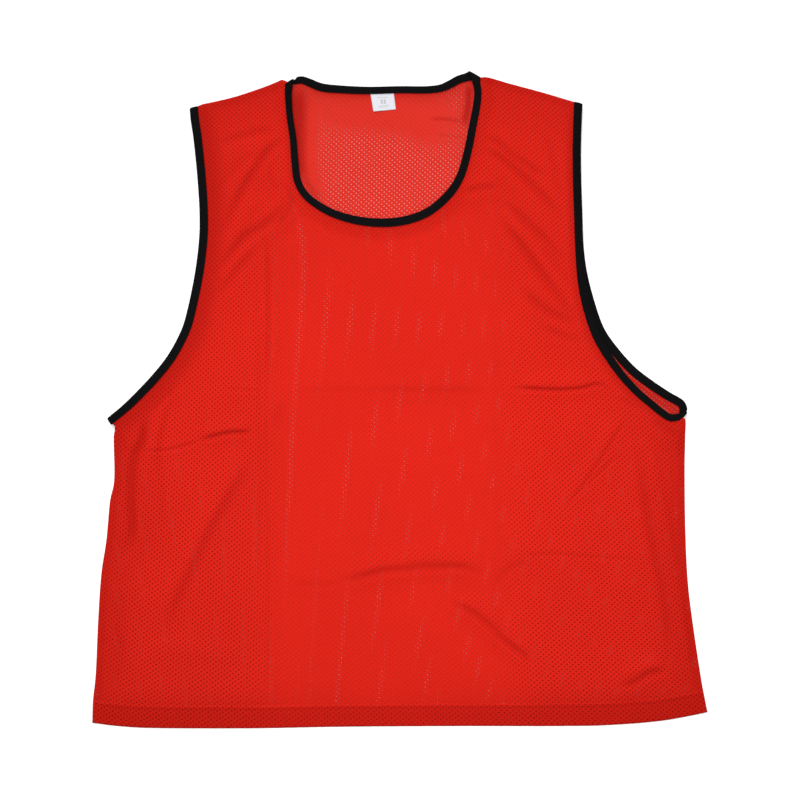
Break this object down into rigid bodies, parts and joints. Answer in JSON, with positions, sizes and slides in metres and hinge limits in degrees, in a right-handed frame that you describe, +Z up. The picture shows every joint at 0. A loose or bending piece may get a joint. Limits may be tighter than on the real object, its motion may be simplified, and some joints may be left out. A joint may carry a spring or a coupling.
{
  "type": "training bib",
  "caption": "sleeveless sports training bib in sports mesh, with bound neck and armholes and a turned hem, laid flat with its front up",
  "frame": {"origin": "middle of the bib's outline, on the surface that it lies on", "axes": "+X to the right of someone looking at the front, +Y towards the neck, +Z up off the surface, out of the front"},
  "size_m": [0.6774, 0.7236, 0.0076],
  "materials": {
    "red_mesh": "knitted polyester sports mesh, small round holes, soft sheen",
    "black_binding": "folded black knit tape, matt",
    "label_satin": "white satin label tape"
  },
  "bodies": {
    "root": {"back_panel": "red_mesh", "front_panel": "red_mesh", "neck_binding": "black_binding", "armhole_binding_left": "black_binding", "armhole_binding_right": "black_binding", "size_label": "label_satin"}
  },
  "joints": []
}
